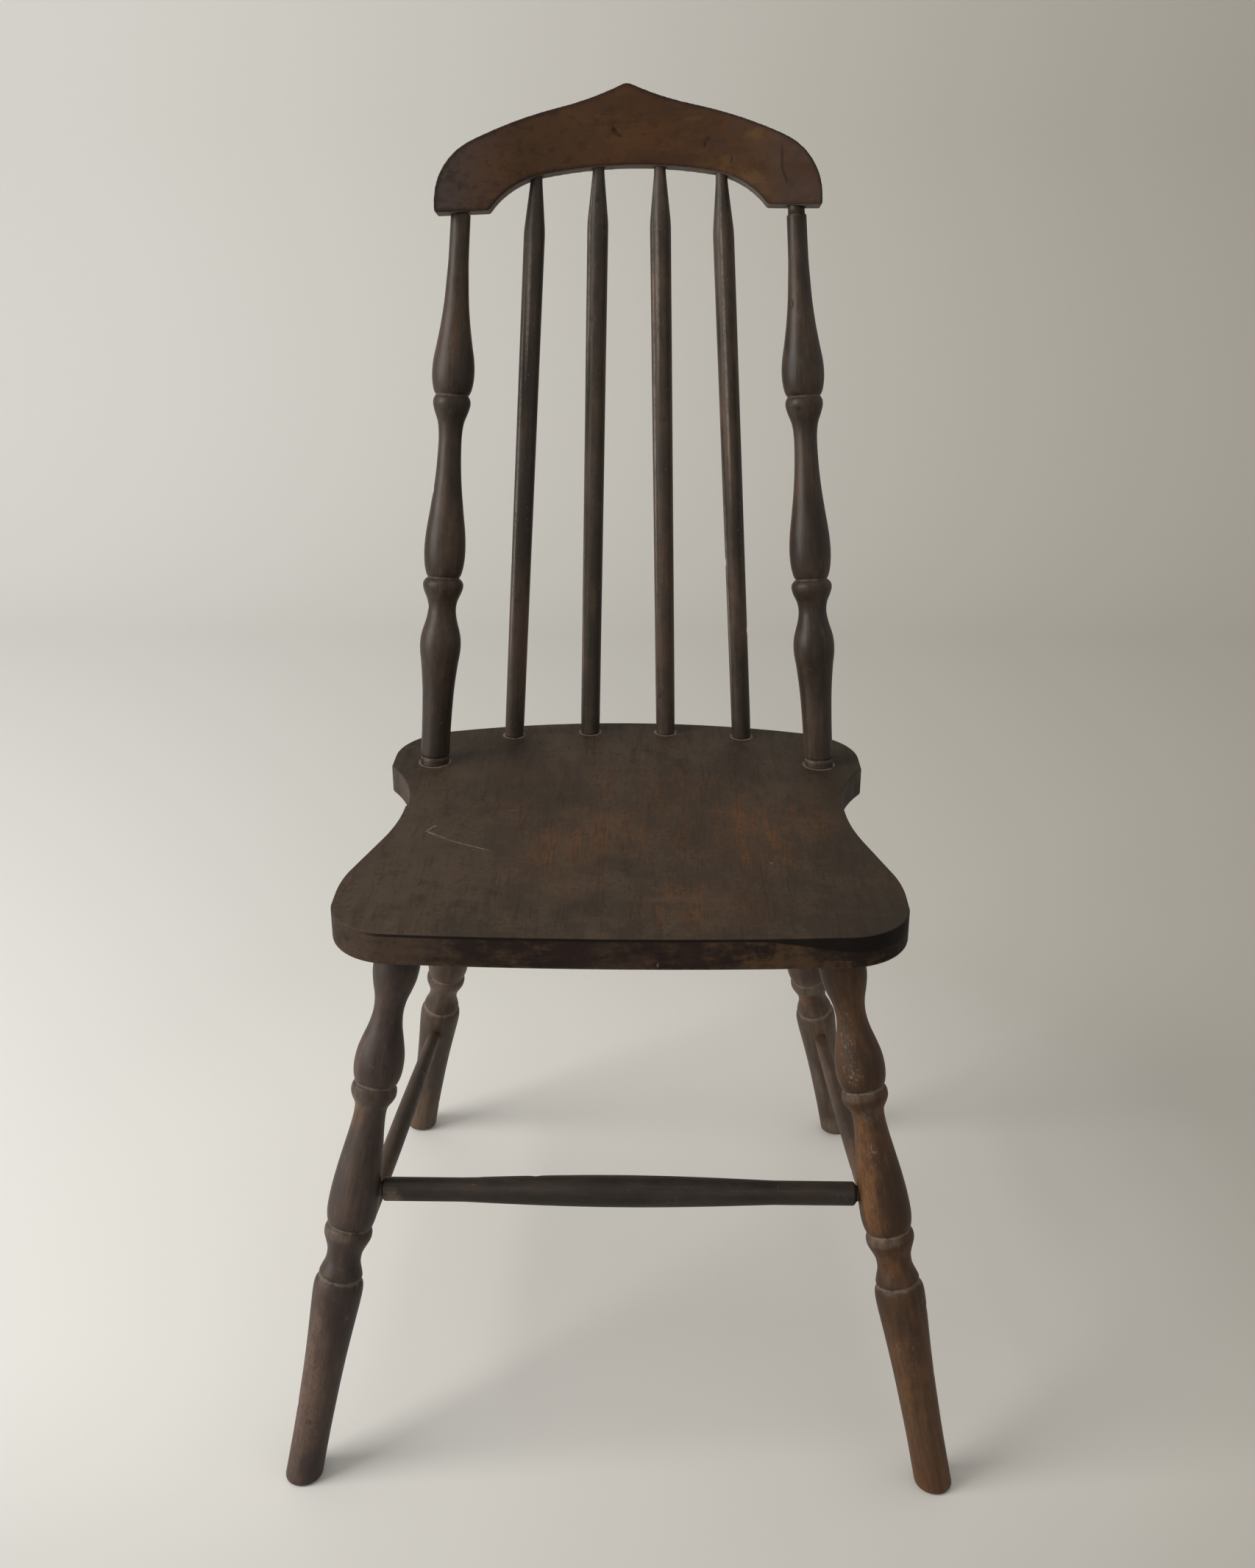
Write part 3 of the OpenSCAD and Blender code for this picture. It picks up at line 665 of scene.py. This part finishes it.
# Stretchers. Turned bars that swell in the middle and step down to a round tenon at each
# end: one across between the front legs, and one on each side from front leg to rear leg.
BAR_START = 0.0004
BAR_ROW = 0.0006
BAR_EDGE = 0.0006
BARREL_DRAW = 1.01
STRETCHER_TONES = ((0.018, 0.014, 0.011), (0.032, 0.024, 0.019), (0.046, 0.030, 0.021))
SIDE_TONES = ((0.038, 0.025, 0.018), (0.068, 0.045, 0.032), (0.095, 0.055, 0.034))
# The right bar's colours are a lighter copy of the side bars' colours: painted light.
SIDE_PAINTED_LIGHTER = ((0.062, 0.038, 0.026), (0.120, 0.072, 0.048), (0.160, 0.088, 0.052))
stretchers = {
    "front": (STRETCHER_TONES, 64, [(0.030, 0.010, 30, 0.010, 0.75, SCUFF)]),
    "left": (SIDE_TONES, 48, [(0.420, 0.020, 0, 0.008, 0.50, SCUFF)]),
    "right": (SIDE_PAINTED_LIGHTER, 48, [(0.400, 0.030, 0, 0.008, 0.50, SCUFF)]),
}
for number, (side, (tones, steps, spots_and_highlights)) in enumerate(stretchers.items()):
    node = "stretcher_" + side
    start, run, length = lathe_axis(node, on_floor=False)
    marks = gauge_of(node, start, run)
    barrel = marks[:, 1] > marks[0, 1] + 0.0002
    # The front bar's swelled length is drawn out a little, towards the legs.
    if side == "front":
        marks[barrel, 0] = length / 2 + (marks[barrel, 0] - length / 2) * BARREL_DRAW
    places = np.arange(BAR_START, length, BAR_ROW)
    radii = blurred(np.interp(places, marks[:, 0], marks[:, 1]), 1)
    rows = [(0, 0), (0, radii[0] - BAR_EDGE)] + list(zip(places, radii))
    rows += [(length, radii[-1] - BAR_EDGE), (length, 0)]
    bar = turned("bar_" + side, start, run, rows, steps, dents=7, seed=70 + number)
    bar.data.materials.append(
        turned_finish(
            "stretcher_wood_" + side, (number * 0.5, 0.9, number * 0.4), tones, spots_and_highlights,
            dust=0.35, gloss=0.52, flecks=0.3,
        )
    )
    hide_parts(node)
    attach(bar, "root")


# Seat. One thick plank sawn to shape, its grain running front to back, stained dark and
# rubbed warm and bare on the right and towards the front, with a pale scratch on the left.
def copied(name, node):
    """A copy of a node of the frame as a piece of its own, with its points merged."""
    bpy.ops.object.select_all(action="DESELECT")
    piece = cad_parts[node].copy()
    piece.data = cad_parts[node].data.copy()
    for key in list(piece.keys()):
        del piece[key]
    piece.parent = None
    piece.name = name
    piece.data.name = name
    piece.data.materials.clear()
    scene.collection.objects.link(piece)
    bpy.context.view_layer.objects.active = piece
    piece.select_set(True)
    bpy.ops.object.mode_set(mode="EDIT")
    bpy.ops.mesh.select_all(action="SELECT")
    bpy.ops.mesh.remove_doubles(threshold=0.000001)
    bpy.ops.object.mode_set(mode="OBJECT")
    return piece


seat = copied("plank_seat", "seat")
seat_low, seat_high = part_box("seat")
bpy.ops.object.mode_set(mode="EDIT")
bpy.ops.mesh.select_all(action="SELECT")
bpy.ops.mesh.dissolve_limited(angle_limit=math.radians(0.2))
bpy.ops.mesh.select_all(action="DESELECT")
bpy.ops.object.mode_set(mode="OBJECT")


def is_wall(face):
    return abs(face.normal.z) < 0.01


def outline_points():
    """The corners of the seat's outline, found by walking round from its foremost one."""
    mesh = seat.data
    ring = {}
    for face in mesh.polygons:
        if is_wall(face):
            for a, b in face.edge_keys:
                p, q = mesh.vertices[a].co, mesh.vertices[b].co
                if abs(p.z - q.z) < 0.00001:
                    one = (round(p.x, 5), round(p.y, 5))
                    two = (round(q.x, 5), round(q.y, 5))
                    ring.setdefault(one, set()).add(two)
                    ring.setdefault(two, set()).add(one)
    found = set()
    wait = [min(ring, key=lambda point: point[1])]
    while wait:
        point = wait.pop()
        if point not in found:
            found.add(point)
            wait.extend(ring[point])
    return found


def level_rim(height):
    """Selects the outline of the seat's face at this height, but no socket's edge."""
    mesh = seat.data
    walls = {}
    for face in mesh.polygons:
        if is_wall(face):
            for key in face.edge_keys:
                walls[key] = walls.get(key, 0) + 1
    outline = outline_points()
    for edge in mesh.edges:
        ends = [mesh.vertices[i].co for i in edge.vertices]
        level = all(abs(point.z - height) < 0.0001 for point in ends)
        outer = all((round(point.x, 5), round(point.y, 5)) in outline for point in ends)
        edge.select = level and outer and walls.get(tuple(sorted(edge.vertices)), 0) == 1


LOWER_EASE = 0.0035
UPPER_EASE = 0.0009
for height, offset in ((seat_low.z, LOWER_EASE), (seat_high.z, UPPER_EASE)):
    level_rim(height)
    bpy.ops.object.mode_set(mode="EDIT")
    bpy.ops.mesh.select_mode(type="EDGE")
    bpy.ops.mesh.bevel(offset=offset, segments=4, profile=0.5, clamp_overlap=False)
    bpy.ops.mesh.select_all(action="DESELECT")
    bpy.ops.object.mode_set(mode="OBJECT")
bpy.ops.object.shade_smooth_by_angle(angle=math.radians(35))
flat_top = seat.modifiers.new("flat_faces", "WEIGHTED_NORMAL")
flat_top.keep_sharp = True
bpy.ops.object.modifier_apply(modifier=flat_top.name)

material, coat = new_material("seat_wood_plank")
place = coat.node("ShaderNodeTexCoord", out=3)
x, y, z = parts_of(place)
broad = cloud(place, 9, 3, 0.6, (1, 0.55, 1))
streak = cloud(place, 90, 5, 0.62, (1, 0.10, 0.3))
fibre = cloud(place, 520, 4, 0.65, (1, 0.07, 0.3))
mottle = cloud(place, 60, 6, 0.68)
fine = cloud(place, 300, 3, 0.6)


def around(px, py, rx, ry):
    """A soft oval patch on the seat's top, 1 at its middle."""
    u = (x - px) * (1 / rx)
    v = (y - py) * (1 / ry)
    return rise((u * u + v * v).root(), 1.15, 0.1)


cloudy = rise(broad + (mottle - 0.5) * 0.9, 0.38, 0.62)
colour = mixed(cloudy, (0.040, 0.028, 0.019), (0.065, 0.044, 0.029))
# Each warm spot: x, y, half width, half length, strength.
warm_spots = [
    (0.100, -0.030, 0.055, 0.110, 0.95), (0.150, -0.005, 0.040, 0.075, 0.70),
    (0.015, -0.020, 0.085, 0.085, 0.65), (-0.050, -0.080, 0.050, 0.095, 0.65),
    (0.065, -0.160, 0.065, 0.060, 0.70), (0.030, 0.060, 0.100, 0.050, 0.40),
    (-0.095, 0.000, 0.035, 0.050, 0.35), (-0.060, 0.090, 0.100, 0.050, 0.30),
]
warmth = strongest([around(*oval) * strength for *oval, strength in warm_spots])
ragged = rise(streak * 0.9 + mottle * 0.6 + broad * 0.2, 0.80, 1.00)
colour = mixed(warmth * (ragged * 0.95 + 0.30), colour, (0.110, 0.051, 0.023))
reddish = rise(streak + (broad - 0.5), 0.50, 0.72) * warmth
colour = mixed(reddish * 0.4, colour, (0.105, 0.040, 0.019))
colour = mixed(rise(fibre + (streak - 0.5) * 0.6, 0.50, 0.68) * 0.35, colour, (0.020, 0.0135, 0.009))
colour = mixed(rise(mottle * 0.6 + fine * 0.5, 0.55, 0.67) * 0.38, colour, (0.018, 0.013, 0.009))
rubs = cloud(place, 34, 5, 0.7, (0.35, 1.3, 1), (5, 2, 0))
colour = mixed(rise(rubs + (fine - 0.5) * 0.5, 0.58, 0.74) * 0.35, colour, (0.088, 0.062, 0.040))
colour = mixed(rise(x, 0.12, 0.20) * 0.42, colour, (0.024, 0.018, 0.011))
smoky = cloud(place, 16, 4, 0.6, (1, 0.8, 1), (1, 7, 0))
colour = mixed(rise(smoky + (streak - 0.5) * 0.5, 0.50, 0.62) * 0.28, colour, (0.024, 0.020, 0.015))


def line(ax, ay, bx, by, half):
    """A thin scratch on the seat's top, from (ax, ay) to (bx, by)."""
    length = math.hypot(bx - ax, by - ay)
    ux, uy = (bx - ax) / length, (by - ay) / length
    forward = (x - ax) * ux + (y - ay) * uy
    aside = (x - ax) * -uy + (y - ay) * ux + (mottle - 0.5) * 0.004
    on_line = rise(abs(aside), half, half * 0.4)
    return on_line * rise(forward, -0.001, 0.001) * rise(forward, length + 0.001, length - 0.006)


PALE_SCRATCH = (0.19, 0.155, 0.12)
scratch = strongest([
    line(-0.152, -0.023, -0.1585, -0.035, 0.0012),
    line(-0.1585, -0.034, -0.140, -0.050, 0.0016),
    line(-0.140, -0.050, -0.102, -0.072, 0.0009),
])
scratch = scratch * rise(z, seat_high.z - 0.001, seat_high.z - 0.0003) * rise(fine, 0.36, 0.50)
colour = mixed(scratch * 0.75, colour, PALE_SCRATCH)
nick = around(0.115, -0.090, 0.002, 0.0016).at_least(around(-0.093, 0.008, 0.004, 0.002) * 0.4)
colour = mixed(nick * 0.6, colour, PALE_SCRATCH)

POST_RING = 0.0128
SPINDLE_RING = 0.0090
LEAN_OVAL = 1.02


def worn_rim_and_highlight(node, reach):
    """A pale ring on the seat round the foot of a leaning post or spindle: the socket's worn rim, with a
    painted highlight along its edge.
    """
    start, run, _ = lathe_axis(node, on_floor=False)
    at = start + run * (seat_high.z - start[2]) / run[2]
    u = x - float(at[0])
    v = (y - float(at[1])) * (1 / LEAN_OVAL)
    far = (u * u + v * v).root() + (mottle - 0.5) * 0.0012
    return rise(far, reach + 0.0022, reach + 0.0008)


# Pale rings round the posts and spindles: worn socket rims with painted highlights.
rings = [worn_rim_and_highlight("back_post_" + side, POST_RING) for side in posts]
rings += [worn_rim_and_highlight(f"spindle_{number}", SPINDLE_RING) for number in spindle_rubs_and_highlights]
rings = strongest(rings)
rings = rings * rise(z, seat_high.z - 0.004, seat_high.z - 0.001) * rise(fine + mottle, 0.70, 0.98)
colour = mixed(rings * 0.8, colour, (0.20, 0.165, 0.13))

SIDE_GREY = (0.066, 0.050, 0.039)
side_face = rise(z, seat_high.z - 0.0002, seat_high.z - 0.0009)
end_grain = cloud(place, 60, 6, 0.70, (0.35, 0.6, 1.1), (3, 1, 0))
stained = rise(end_grain + (broad - 0.5) * 0.8 + (mottle - 0.5) * 0.5, 0.40, 0.62)
edge_colour = mixed(stained, (0.016, 0.0095, 0.0075), (0.036, 0.022, 0.015))
warm_grain = rise(end_grain * 0.5 + mottle * 0.5 + fine * 0.2, 0.60, 0.72)
edge_colour = mixed(warm_grain * 0.5, edge_colour, (0.078, 0.042, 0.022))
NICK_HALF = 0.0012
# Each mark on the seat's edge: x, half width, strength, colour. The first is painted light on the side
# faces of the left front corner, which face the window. The narrowest is a nick.
edge_marks = [
    (-0.160, 0.060, 0.38, (0.062, 0.043, 0.032)), (-0.104, 0.012, 0.55, (0.012, 0.008, 0.006)),
    (-0.031, 0.020, 0.75, (0.013, 0.007, 0.007)), (0.052, 0.016, 0.60, (0.012, 0.007, 0.006)),
    (0.112, 0.036, 0.55, (0.082, 0.047, 0.023)), (0.028, NICK_HALF, 0.80, (0.20, 0.17, 0.14)),
]
for px, half, strength, shade in edge_marks:
    beside = (x - px) + (end_grain - 0.5) * min(half, 0.02)
    spot = rise(abs(beside), half, half * 0.4)
    spot = spot * rise(end_grain + mottle * 0.6 + fine * 0.4, 0.80, 1.10)
    if half == NICK_HALF:
        spot = spot * rise(z, seat_low.z + 0.007, seat_low.z + 0.0055)
        spot = spot * rise(z, seat_low.z + 0.003, seat_low.z + 0.0045)
    edge_colour = mixed(spot * strength, edge_colour, shade)
# The side faces behind the front are painted a lighter grey-brown.
back_from_front = rise(y, -0.165, -0.110)
edge_colour = mixed(back_from_front * (rise(end_grain + mottle, 0.75, 1.25) * 0.5 + 0.3), edge_colour, SIDE_GREY)
colour = mixed(side_face, colour, edge_colour)
# A painted shadow: a dark band on the seat's front face just under the top edge, as cast by an
# overhanging lip, thickening towards the right and stopping short of the left corner.
lip_shadow_depth = rise(x, 0.095, 0.180) * 0.0100 + 0.0028
depth = (z - seat_high.z) * -1
painted_lip_shadow = rise(depth - lip_shadow_depth, 0.0006, -0.0006) * rise(depth, 0.0004, 0.0010)
front_only = rise(y, -0.150, -0.185) * rise(x, -0.190, -0.165)
colour = mixed(painted_lip_shadow * front_only * 0.9, colour, (0.006, 0.0045, 0.004))
lower_rim = rise(z, seat_low.z + 0.004, seat_low.z + 0.001) * rise(mottle + (fine - 0.5), 0.45, 0.6)
colour = mixed(lower_rim * 0.45, colour, (0.11, 0.072, 0.045))

dull = (mottle - 0.5) * 0.4 + (streak - 0.5) * 0.3 + scratch * 0.3 + 0.62
height = fibre * 0.5 + streak * 0.6 + mottle * 0.5 + broad * 1.2 - scratch * 1.2 - nick * 1.5
finish(material, colour, dull, 0.10, height, strength=0.3, depth=0.0008)
seat.data.materials.append(material)
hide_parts("seat")
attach(seat, "root")


# Crest rail. A plank steamed to a bow and sawn to a peak with an arch below, its grain
# running across, worn red-brown, its rounded edges dark, with dents and one upright crack.
CREST_GRID = 0.0011
RIM_TURN = 0.55
crest = copied("bowed_crest_rail", "crest_rail")
remesh = crest.modifiers.new("even_grid", "REMESH")
remesh.mode = "VOXEL"
remesh.voxel_size = CREST_GRID
remesh.use_smooth_shade = True
bpy.ops.object.modifier_apply(modifier=remesh.name)
smooth = crest.modifiers.new("worn_edges", "SMOOTH")
smooth.factor = 0.5
smooth.iterations = 6
bpy.ops.object.modifier_apply(modifier=smooth.name)
bpy.ops.object.select_all(action="DESELECT")

points = read(crest.data)
normals = read(crest.data, "normal")
# Each knock: x, z, reach along, reach across, tilt, depth.
hits = [
    (-0.0118, 0.9590, 0.0042, 0.0020, 0.9, 0.0009), (-0.0075, 0.9552, 0.0030, 0.0016, 0.5, 0.0007),
    (0.0665, 0.9530, 0.0026, 0.0014, 0.3, 0.0008), (0.0645, 0.9490, 0.0014, 0.0028, 0.0, 0.0008),
    (0.0866, 0.9371, 0.0012, 0.0022, 0.0, 0.0005),
]
bruise = np.zeros(len(points))
for hx, hz, long, short, tilt, deep in hits:
    u = (points[:, 0] - hx) * math.cos(tilt) - (points[:, 2] - hz) * math.sin(tilt)
    v = (points[:, 0] - hx) * math.sin(tilt) + (points[:, 2] - hz) * math.cos(tilt)
    pit = np.exp(-((u / long) ** 2) - (v / short) ** 2) * (normals[:, 1] < -0.5)
    points = points - normals * (pit * deep)[:, None]
    bruise = np.maximum(bruise, pit)
crest.data.vertices.foreach_set("co", points.ravel())
crest.data.update()

# The rim is where the surface turns away from the rail's front and back.
turned_away = np.nonzero(np.abs(normals[:, 1]) < RIM_TURN)[0]
tree = kdtree.KDTree(len(turned_away))
for key, i in enumerate(turned_away):
    tree.insert(points[i], key)
tree.balance()
rim = np.array([tree.find(p)[2] for p in points])
for word, value in (("rim", rim * 100), ("bruise", bruise), ("under", -normals[:, 2])):
    store(crest.data, word, value)

material, coat = new_material("crest_wood_rail")
place = coat.node("ShaderNodeTexCoord", out=3)
x, _, z = parts_of(place)
rim, bruise, under = [stored(coat, word) for word in ("rim", "bruise", "under")]
broad = cloud(place, 14, 3, 0.6, (0.6, 1, 1))
streak = cloud(place, 110, 4, 0.6, (0.07, 1, 1))
fibre = cloud(place, 480, 4, 0.65, (0.04, 1, 1))
mottle = cloud(place, 55, 5, 0.65)
cloudy = rise(broad + (mottle - 0.5) * 0.6, 0.36, 0.64)
colour = mixed(cloudy, (0.070, 0.036, 0.018), (0.106, 0.049, 0.021))
rightward = rise(x, -0.06, 0.09)
orange = rise(broad * 0.6 + mottle * 0.5 + streak * 0.3, 0.66, 0.86) * (rightward * 0.35 + 0.25)
colour = mixed(orange, colour, (0.100, 0.040, 0.010))
darker = rise(x, -0.10, 0.07) * 0.68
colour = mixed(darker, colour, (0.022, 0.0070, 0.0005))
gold = cloud(place, 30, 4, 0.6, (0.6, 1, 1.4), (4, 0, 2))
gold_side = rise(x, 0.02, 0.07) * rise(x, 0.13, 0.095)
colour = mixed(rise(gold, 0.46, 0.62) * gold_side * 0.55, colour, (0.105, 0.052, 0.011))
smoky = cloud(place, 20, 3, 0.55, (0.5, 1, 1), (7, 1, 0))
colour = mixed(rise(smoky, 0.50, 0.66) * 0.30, colour, (0.030, 0.014, 0.007))
far_right = rise(x, 0.125, 0.150)
colour = mixed(far_right * 0.45, colour, (0.030, 0.010, 0.003))
# Painted sheen: the rail's left part is painted a lighter grey-brown, and its far left end greyer still.
painted_left_sheen = rise(x, -0.08, -0.16)
colour = mixed(painted_left_sheen * 0.75, colour, (0.104, 0.068, 0.056))
painted_end_sheen = rise(x, -0.120, -0.155)
colour = mixed(painted_end_sheen * 0.55, colour, (0.084, 0.068, 0.066))
colour = mixed(rise(streak + (fibre - 0.5) * 0.7, 0.52, 0.74) * 0.4, colour, (0.028, 0.014, 0.008))
blotch = cloud(place, 130, 4, 0.6, (0.7, 1, 1), (2, 0, 1))
colour = mixed(rise(mottle, 0.54, 0.68) * 0.40, colour, (0.026, 0.013, 0.006))
colour = mixed(rise(blotch, 0.54, 0.66) * 0.35, colour, (0.024, 0.012, 0.006))
pale = cloud(place, 260, 3, 0.6, (0.5, 1, 1))
colour = mixed(rise(pale, 0.64, 0.72) * rise(mottle, 0.50, 0.62) * 0.35, colour, (0.14, 0.085, 0.045))
dark_rim = rise(rim + (mottle - 0.5) * 0.4, 0.45, 0.02)
colour = mixed(dark_rim * 0.7, colour, (0.014, 0.009, 0.007))
# Painted light: the faces turned downwards are painted pale, as lit by the pale floor below.
colour = mixed(rise(under, 0.35, 0.75) * 0.75, colour, (0.140, 0.115, 0.092))
colour = mixed(rise(bruise + (mottle - 0.5) * 0.3, 0.15, 0.8) * 0.65, colour, (0.011, 0.007, 0.004))
crack_side = x - 0.1272 - rise(z, 0.934, 0.919) * 0.0045 + (mottle - 0.5) * 0.0024
crack = rise(abs(crack_side), 0.0015, 0.0004)
crack = crack * rise(z, 0.917, 0.922) * rise(z, 0.952, 0.941)
colour = mixed(crack * 0.75, colour, (0.010, 0.006, 0.004))
dull = (mottle - 0.5) * 0.4 + (streak - 0.5) * 0.25 + 0.60
height = fibre * 0.5 + streak * 0.7 + mottle * 0.4 + broad * 0.5 - crack * 1.5
finish(material, colour, dull, 0.12, height, strength=0.3, depth=0.0007)
crest.data.materials.append(material)
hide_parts("crest_rail")
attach(crest, "root")
